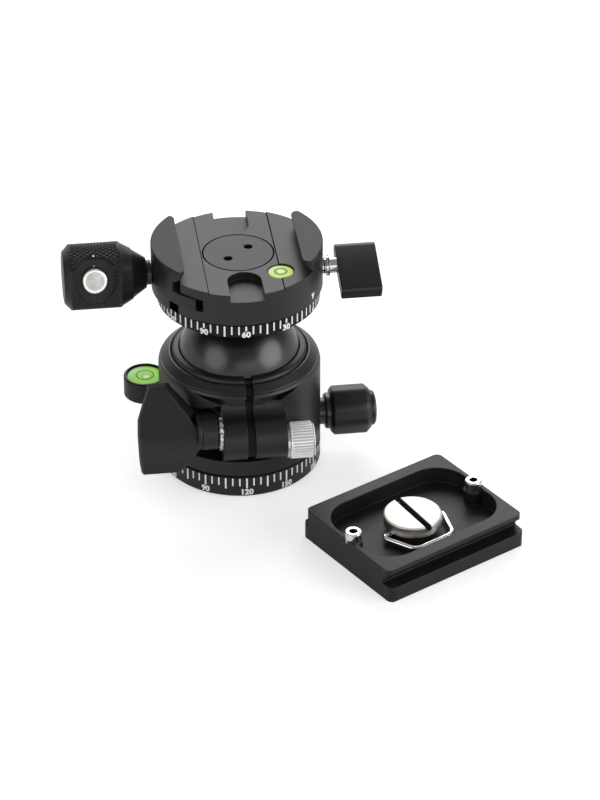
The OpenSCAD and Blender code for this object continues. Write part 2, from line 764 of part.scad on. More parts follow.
module clamp_jaw() {
    foot_x = bed_edge_x + 0.5 + jaw_open + 0.3;
    color("dimgray") mirror([1, 0, 0]) difference() {
        clamp_disc(clamp_r - 0.1, jaw_shift);
        along_y(-far, far) polygon([
            [-far, -1], [foot_x, -1], [foot_x, tongue_z], [tongue_tip, tongue_z],
            [tongue_tip, tongue_top], [jaw_face_x, tongue_top], [jaw_face_x, bed_z], [corner_x, bed_z],
            [corner_x, jaw_top_z - jaw_land - undercut], [grip_x, jaw_top_z - jaw_land], [grip_x, 2 * far], [-far, 2 * far]
        ]);
        jaw_ends(moving_half);
        bar(clamp_screw_r + run_fit, 0, far, 0, knob_z);
        translate([0, -clamp_screw_r - run_fit, tongue_z - 1])
            cube([jaw_face_x - 1, 2 * (clamp_screw_r + run_fit), tongue_t + 2]);
        for (y = [-1, 1]) bar(guide_r + run_fit, 0, guide_x + jaw_open + 0.2, y * guide_y, guide_z);
    }
}

// ---- clamp knob, screws into the clamp and pushes the jaw ----
module clamp_screw() {
    color("silver") bar(clamp_screw_r, -knob_x - knob_len + 6, -spigot_r - 0.6 - jaw_open, 0, knob_z);
}

module knob_washer() {
    x = -clamp_r - jaw_shift - 0.1;
    color("silver") difference() {
        bar(3.6, x - 1.2, x, 0, knob_z);
        bar(clamp_screw_r + run_fit, -far, 0, 0, knob_z);
    }
}

module button_place() {
    translate([button_x, 0, knob_z]) rotate([90 - button_tilt, 0, 0]) children();
}

module clamp_knob() {
    neck_x = clamp_r + jaw_shift + 1.5;
    color("dimgray") difference() {
        translate([-neck_x, 0, knob_z]) rotate([0, -90, 0]) rotate_extrude() polygon([
            [0, 0], [4.4, 0], [7, knob_x - neck_x - 3.4], [7.4, knob_x - neck_x - 3.2],
            [knob_r - 0.5, knob_x - neck_x], [knob_r, knob_x - neck_x + 0.5],
            [knob_r, knob_x - neck_x + knob_len - knob_chamfer],
            [knob_r - knob_chamfer, knob_x - neck_x + knob_len], [0, knob_x - neck_x + knob_len + 0.5]
        ]);
        bar(clamp_screw_r + seat_fit, -knob_x - knob_len + 6 - seat_fit, 0, 0, knob_z);
        button_place() translate([0, 0, button_flat]) cylinder(r = button_flat_r, h = knob_r);
        button_place() translate([0, 0, clamp_screw_r + 1]) cylinder(r = button_r + run_fit, h = knob_r);
    }
}

module release_button() {
    color("silver") button_place() translate([0, 0, button_flat + button_proud]) mirror([0, 0, 1]) rotate_extrude()
        polygon([[0, 0], [button_r - 0.3, 0], [button_r, 0.3], [button_r, 3.4], [0, 3.4]]);
}

// ---- lever that locks the top pan ----
module lever_shaft() {
    color("silver") {
        bar(lever_shaft_r, spigot_r + 3, lever_x, 0, lever_z);
        bar(lever_shaft_r + 0.7, clamp_r + 1, clamp_r + 2, 0, lever_z);
        bar(1.4, lever_x, lever_x + 6, 0, lever_z);
    }
}

module lever_grip() {
    r = wing_t / 2;
    color("dimgray") difference() {
        union() {
            translate([lever_x, 0, lever_z]) rotate([wing_droop, 0, 0]) {
                along_x(0, wing_w) {
                    translate([-wing_front + r, 0]) circle(r);
                    translate([wing_back - r, 0]) circle(r);
                    translate([-wing_front + r, -r]) square([wing_front + wing_back - 2 * r, wing_t]);
                }
            }
            turned_bar(lever_shaft_r + 1, lever_x, lever_x + wing_w, 0.4, 1.2, 0, lever_z);
        }
        bar(1.4 + seat_fit, 0, lever_x + 6 + seat_fit, 0, lever_z);
    }
}

module lever_shoe() {
    color("goldenrod") bar(lever_shaft_r - run_fit, spigot_r + 0.4, spigot_r + 3 - seat_fit, 0, lever_z);
}

// ---- quick-release plate, lying upside down beside the head ----
module on_plate() {
    translate([plate_x, -plate_y, 0]) rotate(plate_turn) children();
}

module plate_section() {
    d = dovetail_w / 2;
    f = flange_w / 2;
    web = d - groove_depth;
    top = plate_h - dovetail_land;
    polygon([
        [-f, 0.3], [-f + 0.3, 0], [f - 0.3, 0], [f, 0.3], [f, flange_t], [web, flange_t],
        [web, top - groove_depth], [d, top], [d, plate_h], [-d, plate_h], [-d, top],
        [-web, top - groove_depth], [-web, flange_t], [-f, flange_t]
    ]);
}

module plate() {
    color("dimgray") on_plate() difference() {
        intersection() {
            along_x(-plate_len / 2, plate_len / 2) plate_section();
            linear_extrude(plate_h) rounded_rect(plate_len, flange_w, plate_corner_r);
        }
        translate([0, 0, recess_floor]) linear_extrude(plate_h - 1 - recess_floor) difference() {
            rounded_rect(recess_len, recess_w, recess_corner_r);
            for (x = [-1, 1]) translate([x * (plate_len / 2 - stop_r), 0]) circle(stop_boss_r);
        }
        translate([0, 0, plate_h - 1]) linear_extrude(plate_h) rounded_rect(recess_len, recess_w, recess_corner_r);
        translate([screw_u, screw_v, -1]) cylinder(r = camera_thread_r + move_gap, h = far);
        for (x = [-1, 1]) translate([x * (plate_len / 2 - stop_r), 0, 0]) {
            translate([0, 0, 1]) cylinder(r = 1.5 + seat_fit, h = far);
            translate([0, 0, plate_h - 1]) cylinder(r = stop_r + seat_fit, h = far);
        }
    }
}

module stop_screws() {
    color("silver") on_plate() for (x = [-1, 1]) translate([x * (plate_len / 2 - stop_r), 0, 0]) difference() {
        union() {
            translate([0, 0, 1.2]) cylinder(r = 1.5, h = plate_h - 2.2);
            turned_disc(stop_r, plate_h - 1, plate_h - 1 + stop_h, 0, 0.3);
        }
        translate([0, 0, plate_h - 1 + stop_h - 1.6]) cylinder(r = 1.35, h = 3, $fn = 6);
    }
}

module camera_screw() {
    color("silver") on_plate() translate([screw_u, screw_v, 0]) difference() {
        union() {
            turned_disc(head_r, head_z, head_top_z, 0, edge);
            translate([0, 0, recess_floor + 0.2]) cylinder(r = screw_neck_r, h = head_z - recess_floor);
            translate([0, 0, 0.3]) cylinder(r = camera_thread_r, h = recess_floor + 1);
        }
        rotate(-5) translate([-1, -far, head_top_z - 1.5]) cube([2, 2 * far, 3]);
        bar(wire_r + run_fit, -far, far, 0, wire_z);
    }
}

// Half of the finger ring: the pin in the screw's neck, an arm, a bend and half of the front bar.
module ring_half() {
    $fn = 32;
    arm = (ring_reach - ring_bend_r + ring_bend_r * sin(ring_lean)) / cos(ring_lean);
    bend_x = ring_wire_r - arm * sin(ring_lean) - ring_bend_r * cos(ring_lean);
    bar(wire_r, 1, ring_wire_r);
    translate([ring_wire_r, 0, 0]) {
        sphere(wire_r);
        rotate(-90 - ring_lean) bar(wire_r, 0, arm);
    }
    translate([bend_x, ring_bend_r - ring_reach, 0]) {
        rotate(-90) rotate_extrude(angle = 90 - ring_lean) translate([ring_bend_r, 0]) circle(wire_r);
        translate([0, -ring_bend_r, 0]) sphere(wire_r);
        rotate(-ring_lean) translate([ring_bend_r, 0, 0]) sphere(wire_r);
    }
    bar(wire_r, -0.1, bend_x, -ring_reach);
}

module finger_ring() {
    color("silver") on_plate() translate([screw_u, screw_v, wire_z]) for (x = [0, 1]) mirror([x, 0, 0]) ring_half();
}

base_disc();
thread_insert();
retaining_ring();
pan_washer();
housing();
ball_collar();
level_cup();
level_vial();
lock_washer();
friction_washer();
lock_screw();
lock_collar();
lock_paddle();
friction_screw();
friction_knob();
pan_lock_screw();
pan_lock_knob();
pan_lock_cap();
pan_lock_shoe();
ball_liner();
ball();
stem_screw();
top_ring();
centre_cap();
clamp_base();
guide_pins();
clamp_vial();
clamp_jaw();
clamp_screw();
clamp_knob();
knob_washer();
release_button();
lever_shaft();
lever_grip();
lever_shoe();
plate();
stop_screws();
camera_screw();
finger_ring();
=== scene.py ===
# Low-profile tripod ball head with a round quick-release clamp, and its camera plate lying beside it.
# In metres, in the frame of the solids: +Z up, the housing's slit lug towards -Y. MM turns millimetres into metres.
import math

import bmesh
import bpy
from mathutils import Matrix, Vector


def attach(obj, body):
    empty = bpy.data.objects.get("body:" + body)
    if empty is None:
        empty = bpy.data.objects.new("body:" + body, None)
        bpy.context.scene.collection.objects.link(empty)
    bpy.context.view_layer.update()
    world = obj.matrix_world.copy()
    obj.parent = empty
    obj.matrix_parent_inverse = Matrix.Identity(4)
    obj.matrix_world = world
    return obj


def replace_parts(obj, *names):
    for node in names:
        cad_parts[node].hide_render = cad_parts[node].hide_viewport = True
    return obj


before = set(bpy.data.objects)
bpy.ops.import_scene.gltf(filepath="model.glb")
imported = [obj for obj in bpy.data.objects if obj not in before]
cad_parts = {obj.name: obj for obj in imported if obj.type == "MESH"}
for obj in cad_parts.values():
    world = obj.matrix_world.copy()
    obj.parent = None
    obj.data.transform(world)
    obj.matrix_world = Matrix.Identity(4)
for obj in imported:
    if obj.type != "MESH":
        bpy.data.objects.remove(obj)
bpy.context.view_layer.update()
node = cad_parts
scene = bpy.context.scene
MM = 0.001

# ---- Camera ----
# A long lens about a metre from the head, a little to the left of its front and looking down at about a third of
# a right angle. It is moved sideways and up so that head and plate both lie in the picture.
VIEW_PITCH = math.radians(32.85)
VIEW_TURN = math.radians(7.4)
VIEW_ACROSS, VIEW_UP, VIEW_AWAY = 0.01788, 0.01569, 1.0258
cp, sp, ct, st = math.cos(VIEW_PITCH), math.sin(VIEW_PITCH), math.cos(VIEW_TURN), math.sin(VIEW_TURN)
ahead = Vector((cp * st, cp * ct, -sp))
across = Vector((ct, -st, 0))
upward = Vector((sp * st, sp * ct, cp))
cam_data = bpy.data.cameras.new("camera")
cam_data.sensor_fit = "HORIZONTAL"
cam_data.sensor_width = 36
cam_data.lens = 205.2
cam_data.clip_start, cam_data.clip_end = 0.05, 10
camera = bpy.data.objects.new("camera", cam_data)
turn = Matrix((across, upward, -ahead)).transposed().to_4x4()
turn.translation = across * VIEW_ACROSS + upward * VIEW_UP - ahead * VIEW_AWAY
camera.matrix_world = turn
scene.collection.objects.link(camera)
scene.camera = camera
scene.view_settings.view_transform = "Standard"


# ---- Panning base ----
# A turned aluminium disc, black anodised, with a steel thread insert pressed in from below. The housing turns
# on it over a thin washer, held by a spring ring. Its rim carries an engraved, white-filled scale.
class Value:
    """One socket of a node tree. Sums on it are written as sums, and add Math nodes."""

    def __init__(self, tree, socket):
        self.tree, self.socket = tree, socket

    def math(self, operation, *others):
        return self.tree.node("ShaderNodeMath", {"operation": operation}, self, *others)

    def __add__(self, other): return self.math("ADD", other)
    def __sub__(self, other): return self.math("SUBTRACT", other)
    def __mul__(self, other): return self.math("MULTIPLY", other)
    def __truediv__(self, other): return self.math("DIVIDE", other)
    def __rsub__(self, other): return self * -1 + other
    def __gt__(self, other): return self.math("GREATER_THAN", other)
    def __lt__(self, other): return self.math("LESS_THAN", other)

    def ramp(self, low, high, out_low=0.0, out_high=1.0):
        return self.tree.node("ShaderNodeMapRange", {"interpolation_type": "SMOOTHSTEP"},
                              self, low, high, out_low, out_high)

    def near(self, centre, half, soft=0.06):
        """One near a value, nothing away from it, in millimetres."""
        return 1 - (self - centre * MM).math("ABSOLUTE").ramp((half - soft) * MM, (half + soft) * MM)


class Tree:
    """A node tree with one method that adds any node: its type, its settings, its inputs."""

    def node(self, kind, settings, *inputs, out=0, **named):
        made = self.nodes.new(kind)
        for key, setting in settings.items():
            setattr(made, key, setting)
        for key, value in list(enumerate(inputs)) + list(named.items()):
            self.plug(made.inputs[key.replace("_", " ") if isinstance(key, str) else key], value)
        return Value(self, made.outputs[out])

    def plug(self, socket, value):
        if isinstance(value, Value):
            self.links.new(value.socket, socket)
        elif value is not None:
            socket.default_value = value

    def split(self, vector):
        """The X, Y and Z of a vector."""
        outs = self.node("ShaderNodeSeparateXYZ", {}, vector).socket.node.outputs
        return [Value(self, outs[i]) for i in range(3)]

    def vector_math(self, operation, *inputs, out="Vector"):
        return self.node("ShaderNodeVectorMath", {"operation": operation}, *inputs, out=out)

    def ray_kinds(self):
        """Whether a ray comes from the camera, from something that shines, or through something clear."""
        rays = self.node("ShaderNodeLightPath", {}).socket.node.outputs
        return [Value(self, rays[kind]) for kind in ("Is Camera Ray", "Is Glossy Ray", "Is Transmission Ray")]


class Finish(Tree):
    """A finish on a material of its own."""

    def __init__(self, name):
        self.material = bpy.data.materials.new(name)
        self.material.use_nodes = True
        self.nodes, self.links = self.material.node_tree.nodes, self.material.node_tree.links
        self.shader = self.nodes["Principled BSDF"]
        self.place = self.node("ShaderNodeTexCoord", {}, out="Object")

    def set(self, **values):
        for key, value in values.items():
            self.plug(self.shader.inputs[key.replace("_", " ")], value)
        return self

    def noise(self, scale, detail):
        return self.node("ShaderNodeTexNoise", {}, Vector=self.place, Scale=scale, Detail=detail, out="Fac")

    def axes(self):
        return self.split(self.place)

    def blend(self, factor, a, b):
        made = self.nodes.new("ShaderNodeMix")
        made.data_type = "RGBA"
        self.plug(made.inputs[0], factor)
        self.plug(made.inputs[6], a)
        self.plug(made.inputs[7], b)
        return Value(self, made.outputs[2])

    def bump(self, height, strength, distance, under=None):
        return self.node("ShaderNodeBump", {}, Strength=strength, Distance=distance, Height=height,
                         Normal=under, out="Normal")

    def soft_edges(self, radius):
        """Broken edges: the normal turned over each edge, and how near an edge a point is."""
        normal = self.node("ShaderNodeBevel", {"samples": 6}, radius * MM, out="Normal")
        facing = self.vector_math("DOT_PRODUCT", normal, self.node("ShaderNodeNewGeometry", {}, out="Normal"),
                                  out="Value")
        return normal, (1 - facing).ramp(0.006, 0.07)

    def gap(self, mask):
        """Where pieces meet, a narrow dark joint that gives no light back; the same near-black is painted shade in
        slots, sockets and grooves.
        """
        dark = self.node("ShaderNodeBsdfDiffuse", {}, Color=(0.002, 0.002, 0.002, 1))
        mixed = self.node("ShaderNodeMixShader", {}, mask, Value(self, self.shader.outputs[0]), dark)
        self.plug(self.nodes["Material Output"].inputs["Surface"], mixed)
        return self

    def rings(self, centre, axis, pitch):
        """Turning marks: a fine wave along the axis and out from it, in millimetres."""
        parts = self.axes()
        along = parts["XYZ".index(axis)]
        u, v = [p - c * MM for p, c, a in zip(parts, centre, "XYZ") if a != axis]
        out = (u * u + v * v).math("SQRT")
        return ((along + out) * (2 * math.pi / (pitch * MM)) + self.noise(300, 2) * 3).math("SINE")


def grey(v, warm=0.0):
    return (v * (1 + warm), v, v * (1 - warm), 1)


def anodised(name, tone, rough, edge=0.3, grain=1.0, rings=None, gloss=1.45, wear_and_sheen=0.02):
    """Black anodised aluminium: an even blasted grain, edges broken and painted a little brighter near them: part
    wear, part painted edge highlight.
    """
    f = Finish(name)
    normal, near_edge = f.soft_edges(edge)
    # near the edges the colour is painted lighter: part wear, part a painted highlight on the broken edges
    edge_wear_and_sheen = near_edge * f.noise(500, 3).ramp(0.35, 0.75) * 0.5
    cloud = f.noise(90, 3).ramp(0.35, 0.65)
    colour = f.blend(cloud, grey(tone * 0.92), grey(tone * 1.08))
    f.set(Base_Color=f.blend(edge_wear_and_sheen, colour, grey(tone * 2.5 + wear_and_sheen)), Metallic=0.0, IOR=gloss,
          Roughness=f.noise(420, 2) * 0.07 + (rough - 0.035))
    normal = f.bump(f.noise(7000, 1), 0.22 * grain, 0.00004, normal)
    if rings:
        normal = f.bump(f.rings(*rings), 0.06, 0.00002, normal)
    return f.set(Normal=normal)


def dress(finish, *pieces):
    for obj in pieces:
        obj = node[obj] if isinstance(obj, str) else obj
        obj.data.materials.clear()
        obj.data.materials.append(finish.material)


dress(anodised("turned_black_disc", 0.009, 0.36, 0.25, 0.5, ((0, 0, 0), "Z", 0.35)), "base_disc")

f = Finish("thread_steel")
f.set(Base_Color=f.blend(f.noise(300, 2), grey(0.5), grey(0.58, 0.02)), Metallic=1.0,
      Roughness=f.noise(900, 3) * 0.15 + 0.3, Normal=f.bump(f.rings((0, 0, 0), "Z", 1.27), 0.4, 0.0001))
dress(f, "thread_insert")
f = Finish("spring_steel")
f.set(Base_Color=f.blend(f.noise(500, 3), grey(0.32), grey(0.4)), Metallic=1.0, Roughness=f.noise(700, 2) * 0.2 + 0.3)
dress(f, "retaining_ring")
bronze = Finish("washer_bronze")
bronze.set(Base_Color=bronze.blend(bronze.noise(200, 2), (0.5, 0.36, 0.18, 1), (0.58, 0.44, 0.24, 1)), Metallic=1.0,
           Roughness=bronze.noise(800, 3) * 0.2 + 0.3)
dress(bronze, "pan_washer")

scale_white = Finish("scale_white")
scale_white.set(Base_Color=scale_white.blend(scale_white.noise(1500, 2), grey(0.8), grey(0.92)), Roughness=0.6)


def finished(name, mesh, body, finish, smooth=40):
    """Makes a mesh a piece that rides on a body."""
    obj = bpy.data.objects.new(name, mesh)
    scene.collection.objects.link(obj)
    dress(finish, obj)
    if smooth:
        mesh.polygons.foreach_set("use_smooth", [True] * len(mesh.polygons))
        mesh.set_sharp_from_angle(angle=math.radians(smooth))
    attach(obj, body)
    return obj


def as_mesh(bm, name):
    """Turns a bmesh into a mesh and lets the bmesh go."""
    mesh = bpy.data.meshes.new(name)
    bm.to_mesh(mesh)
    bm.free()
    return mesh


def make(name, body, finish, build, smooth=40):
    """Builds a bmesh and turns it into a finished piece that rides on a body."""
    bm = bmesh.new()
    build(bm)
    bmesh.ops.remove_doubles(bm, verts=bm.verts, dist=1e-7)
    bmesh.ops.recalc_face_normals(bm, faces=bm.faces)
    return finished(name, as_mesh(bm, name), body, finish, smooth)


def settle(obj):
    """Turns a piece's live modifiers into its plain mesh."""
    deps = bpy.context.evaluated_depsgraph_get()
    done = bpy.data.meshes.new_from_object(obj.evaluated_get(deps), depsgraph=deps)
    obj.modifiers.clear()
    old, obj.data = obj.data, done
    bpy.data.meshes.remove(old)


class Growth(Tree):
    """A Geometry Nodes tree with named inputs, run once and kept as a plain mesh."""

    def __init__(self, name):
        self.group = bpy.data.node_groups.new(name, "GeometryNodeTree")
        self.nodes, self.links = self.group.nodes, self.group.links
        self.group.interface.new_socket("Geometry", in_out="OUTPUT", socket_type="NodeSocketGeometry")
        self.source = self.nodes.new("NodeGroupInput")
        self.sizes = {}

    def size(self, name, value):
        item = self.group.interface.new_socket(name, in_out="INPUT", socket_type="NodeSocketFloat")
        self.sizes[item.identifier] = value
        return Value(self, self.source.outputs[name])

    def vector(self, x, y, z):
        return self.node("ShaderNodeCombineXYZ", {}, x, y, z)

    def grow(self, name, geometry, finish):
        solid = self.node("GeometryNodeRealizeInstances", {}, geometry)
        painted = self.node("GeometryNodeSetMaterial", {}, solid)
        painted.socket.node.inputs["Material"].default_value = finish.material
        end = self.nodes.new("NodeGroupOutput")
        self.links.new(painted.socket, end.inputs[0])
        obj = bpy.data.objects.new(name, bpy.data.meshes.new(name))
        scene.collection.objects.link(obj)
        mod = obj.modifiers.new("growth", "NODES")
        mod.node_group = self.group
        for identifier, value in self.sizes.items():
            mod[identifier] = value
        settle(obj)
        return obj


def on_drum(radius, angle, z):
    """The point on a drum at an angle from -Y towards +X."""
    return Vector((radius * math.sin(angle), -radius * math.cos(angle), z))


TICK_STEP, LONG_STEP, NUMBER_STEP = 5, 15, 30
TICK_WIDTH, LONG_TICK_WIDER, TICK_RELIEF = 0.44 * MM, 0.00008, 0.00008
DIGIT_HEIGHT, HEIGHT_OF_SIZE, STROKE_WIDER = 1.75 * MM, 0.7, 0.00012


def scale_ticks(name, body, radius, top, short, long, numbered, zero, sense):
    """A tick each 5 degrees of a scale, a longer one each 15, and one over each number."""
    g = Growth(name)
    r, high, small, tall = g.size("Radius", radius), g.size("Top", top), g.size("Short", short), g.size("Long", long)
    marked, wide = g.size("Numbered", numbered), g.size("Width", TICK_WIDTH)
    index = g.node("GeometryNodeInputIndex", {})
    angle = index * math.radians(TICK_STEP * sense) + math.radians(zero)
    is_long = index.math("MODULO", LONG_STEP / TICK_STEP) < 0.5
    is_marked = index.math("MODULO", NUMBER_STEP / TICK_STEP) < 0.5
    length = small + is_long * (tall - small) + is_marked * (marked - tall)
    place = g.vector(angle.math("SINE") * r, angle.math("COSINE") * r * -1, high - length * 0.5)
    points = g.node("GeometryNodeSetPosition", {}, g.node("GeometryNodePoints", {}, Count=360 // TICK_STEP),
                    Position=place)
    bar = g.node("GeometryNodeMeshCube", {}, Size=(1, 1, 1))
    ticks = g.node("GeometryNodeInstanceOnPoints", {}, points, Instance=bar, Rotation=g.vector(0.0, 0.0, angle),
                   Scale=g.vector(wide + is_long * LONG_TICK_WIDER, TICK_RELIEF, length))
    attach(g.grow(name, ticks, scale_white), body)


def scale_numbers(name, body, radius, digit_z, zero, sense):
    """A plain number each 30 degrees of a scale, wrapped round its drum."""
    bm = bmesh.new()
    for number in range(0, 360, NUMBER_STEP):
        text = bpy.data.curves.new("number", "FONT")
        text.body, text.align_x = str(number), "CENTER"
        text.size, text.offset = DIGIT_HEIGHT / HEIGHT_OF_SIZE, STROKE_WIDER
        text.space_character, text.resolution_u = 1.02, 4
        holder = bpy.data.objects.new("number", text)
        scene.collection.objects.link(holder)
        flat = bpy.data.meshes.new_from_object(holder.evaluated_get(bpy.context.evaluated_depsgraph_get()))
        bpy.data.objects.remove(holder)
        a = math.radians(zero + sense * number)
        for v in flat.vertices:
            v.co = on_drum(radius + 0.03 * MM, a + v.co.x / radius, digit_z - DIGIT_HEIGHT / 2 + v.co.y)
        bm.from_mesh(flat)
        bpy.data.meshes.remove(flat)
    finished(name, as_mesh(bm, name), body, scale_white, smooth=0)


# each scale's zero is given in degrees from -Y towards +X
DIAL_R, DIAL_ZERO = 23.9 * MM, -121.8
scale_ticks("base_ticks", "base", DIAL_R, top=6.6 * MM, short=2.6 * MM, long=3.6 * MM, numbered=3.4 * MM,
            zero=DIAL_ZERO, sense=1)
scale_numbers("base_numbers", "base", DIAL_R, 2.0 * MM, DIAL_ZERO, 1)

# ---- Housing ----
# The main body, turned and milled from one aluminium bar and black anodised. The ball sits in a plastic liner cup
# and the front is slit, so the two lugs pull together on the ball; a screwed collar keeps it in.
black_body = anodised("satin_black_housing", 0.008, 0.4, 0.25, 1.0, wear_and_sheen=0.05)
dress(black_body, "housing")
dress(anodised("turned_black_collar", 0.009, 0.42, 0.15, 0.5, ((0, 0, 0), "Z", 0.3), wear_and_sheen=0.15), "ball_collar")
f = Finish("liner_plastic")
f.set(Base_Color=f.blend(f.noise(200, 2), (0.7, 0.69, 0.64, 1), (0.78, 0.77, 0.72, 1)), Roughness=0.5,
      Normal=f.bump(f.noise(3000, 2), 0.1, 0.00003))
dress(f, "ball_liner")


def arc(u, v, radius, start, sweep, steps):
    """Points on an arc round (u, v), from a start angle over a sweep, both in degrees."""
    angles = [math.radians(start + sweep * k / steps) for k in range(steps + 1)]
    return [(u + radius * math.cos(a), v + radius * math.sin(a)) for a in angles]


def skin(bm, rings, ends=True, loop=False):
    """Joins each ring of points to the next with faces, and closes both ends."""
    for low, high in zip(rings, rings[1:] + rings[:1] if loop else rings[1:]):
        for k in range(len(low)):
            n = (k + 1) % len(low)
            bm.faces.new((low[k], low[n], high[n], high[k]))
    if ends:
        bm.faces.new(rings[0])
        bm.faces.new(rings[-1])


# the slit is 2.4 mm wide and lies 0.5 mm right of the middle; the band just fits between its walls
BAND_SIDES, BAND_THICKNESS = (-0.66, 1.66), 0.3


def slit_band(bm):
    """Painted shade for the inside of the slit: a thin dark sheet that follows the front, a little way in."""
    path = [(-18.7, 37.5), (-19.05, 37.25), (-19.35, 36.35), (-20.2, 36.35), (-20.7, 36.15), (-22.3, 34.85),
            (-22.4, 34.6), (-20.4, 34.55), (-20.2, 34.3), (-20.1, 32.2)]
    path += arc(-24.2, 30.86, 4.65, 0, -75.8, 10) + arc(-21.5, 20.2, 6.35, 108, 152, 16)
    left, right = BAND_SIDES
    rings = []
    for k, (y, z) in enumerate(path):
        before, after = Vector(path[max(k - 1, 0)]), Vector(path[min(k + 1, len(path) - 1)])
        ahead = (after - before).normalized()
        back = (y - ahead.y * BAND_THICKNESS, z + ahead.x * BAND_THICKNESS)
        rings.append([bm.verts.new(Vector((x, p, q)) * MM) for x, (p, q) in
                      ((left, (y, z)), (right, (y, z)), (right, back), (left, back))])
    skin(bm, rings)


# painted shade: a dark sheet where the slit shows only shade
shaded = anodised("shaded_black_slit", 0.006, 0.5, 0.05, 0.3, gloss=1.22)
make("slit_band", "housing", shaded, slit_band)

# ---- Ball ----
# A turned and polished aluminium ball with its neck, anodised black over a smooth surface, so it shows soft
# lights where the body shows none.
f = Finish("smooth_black_ball")
f.set(Base_Color=f.blend(f.noise(60, 2).ramp(0.3, 0.7), grey(0.003), grey(0.005)), IOR=1.6,
      Roughness=f.noise(120, 2) * 0.04 + 0.24,
      Normal=f.bump(f.rings((0, 0, 0), "Z", 0.22), 0.03, 0.00001, f.bump(f.noise(3000, 2), 0.05, 0.00003)))
dress(f, "ball")

# ---- Main lock ----
# A steel screw through both lugs, a knurled steel washer, a black collar and a machined aluminium paddle: a flat
# front leaning back, a fold low down, a broad chamfer along the right side and a narrow one on the left.
def bright_steel(name, tone, rough, rings=None, warm=0.0, edge=0.0):
    """Bright turned steel: faint rings, soft handling marks."""
    f = Finish(name)
    f.set(Base_Color=f.blend(f.noise(300, 2), grey(tone * 0.94, warm), grey(tone * 1.03, warm)), Metallic=1.0,
          Roughness=f.noise(600, 3) * 0.1 + (rough - 0.05))
    normal = f.soft_edges(edge)[0] if edge else None
    normal = f.bump(f.noise(2500, 2), 0.08, 0.00003, normal)
    if rings:
        normal = f.bump(f.rings(*rings), 0.1, 0.00002, normal)
    return f.set(Normal=normal)


dress(anodised("blackened_steel", 0.02, 0.35, 0.2, 0.3), "lock_screw", "clamp_screw")
dress(black_body, "lock_collar")

LOCK_AXIS = Vector((0, -22.5, 23.4))
PADDLE_LEAN = math.radians(57)
# height along the span, left edge, right edge in front and behind, front, back (mm; edges along the shaft)
PADDLE_ROWS = (
    (14.9, -28.8, -23.0, -22.6, 1.7, 0.1),
    (13.2, -28.8, -23.4, -21.4, 3.4, -0.2),
    (9.0, -30.6, -20.6, -17.7, 3.4, -1.0),
    (4.6, -32.2, -17.7, -14.2, 3.4, -1.8),
    (0.0, -32.5, -14.7, -13.8, 3.4, -2.6),
    (-5.0, -32.5, -14.8, -13.9, 3.4, -2.6),
    (-7.6, -32.4, -17.2, -16.4, 2.6, -2.6),
    (-10.6, -32.0, -20.3, -19.6, 1.5, -1.8),
    (-11.4, -31.4, -21.2, -20.8, 0.7, -1.0))
black_paddle = anodised("satin_black_paddle", 0.009, 0.42, 0.5, 1.2, gloss=1.42, wear_and_sheen=0.14)


def in_paddle(x, v, w):
    """A point of the leaning paddle: along the shaft, along the span, towards the front."""
    c, s = math.cos(PADDLE_LEAN), math.sin(PADDLE_LEAN)
    return (LOCK_AXIS + Vector((x, c * v - s * w, s * v + c * w))) * MM


def paddle(bm):
    """The paddle, one six-sided section for each row."""
    rings = []
    for v, left, right, far_right, front, back in PADDLE_ROWS:
        edge = min(0.6, (front - back) * 0.2)
        section = ((left + edge, front), (right, front), (far_right, back + 1.0), (far_right - 0.2, back),
                   (left + edge, back), (left, front - 1.8 * edge))
        rings.append([bm.verts.new(in_paddle(x, v, w)) for x, w in section])
    skin(bm, rings)


def circle(count):
    """Evenly spaced angles round a circle."""
    return [2 * math.pi * k / count for k in range(count)]


def turned(bm, profile, centre, axis="X", around=96):
    """A turned body: profile is (radius, place along the axis) pairs in millimetres."""
    rings = []
    for r, h in profile:
        ring = []
        for a in circle(around):
            p, q = r * math.cos(a), r * math.sin(a)
            at = (h, p, q) if axis == "X" else (p, q, h)
            ring.append(bm.verts.new((Vector(centre) + Vector(at)) * MM))
        rings.append(ring)
    skin(bm, rings)


def bevelled(obj, width, segments, angle=30):
    """Breaks the sharp edges of a piece and keeps the result as its plain mesh."""
    mod = obj.modifiers.new("edges", "BEVEL")
    mod.width, mod.segments, mod.limit_method = width * MM, segments, "ANGLE"
    mod.angle_limit = math.radians(angle)
    settle(obj)


wing = make("lock_wing", "main_lock", black_paddle, paddle)
bevelled(wing, 0.1, 1)
HUB = ((4.6, -15.3), (5.35, -14.9), (5.35, -13.8), (5.2, -13.62))
make("lock_hub", "main_lock", black_paddle, lambda bm: turned(bm, HUB, LOCK_AXIS))
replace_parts(wing, "lock_paddle")

WASHER_RIBS = 20


def ribbed_washer(bm):
    """The washer's rim is cut into small ribs."""
    rings = []
    for x, r, rib in ((-9.0, 2.7, 0), (-9.0, 5.5, 0), (-8.75, 5.9, 0.1), (-8.0, 5.95, 0.12), (-7.72, 5.6, 0),
                      (-7.72, 2.7, 0)):
        rings.append([])
        for a in circle(160):
            away = r + rib * math.cos(WASHER_RIBS * a)
            rings[-1].append(bm.verts.new((LOCK_AXIS + Vector((x, away * math.cos(a), away * math.sin(a)))) * MM))
    skin(bm, rings, ends=False, loop=True)


washer_steel = bright_steel("lock_washer_steel", 0.62, 0.2)
washer = make("ribbed_lock_washer", "housing", washer_steel, ribbed_washer, smooth=25)
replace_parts(washer, "lock_washer")

# ---- Friction adjuster ----
# A small knurled knob of bright aluminium on its own screw beside the main lock, with a thin steel washer.
bright_knob = bright_steel("bright_knob_aluminium", 0.97, 0.3, edge=0.06)
ribs = [v.co for v in node["friction_knob"].data.vertices]
middle = [(min(v[i] for v in ribs) + max(v[i] for v in ribs)) / 2 for i in range(3)]
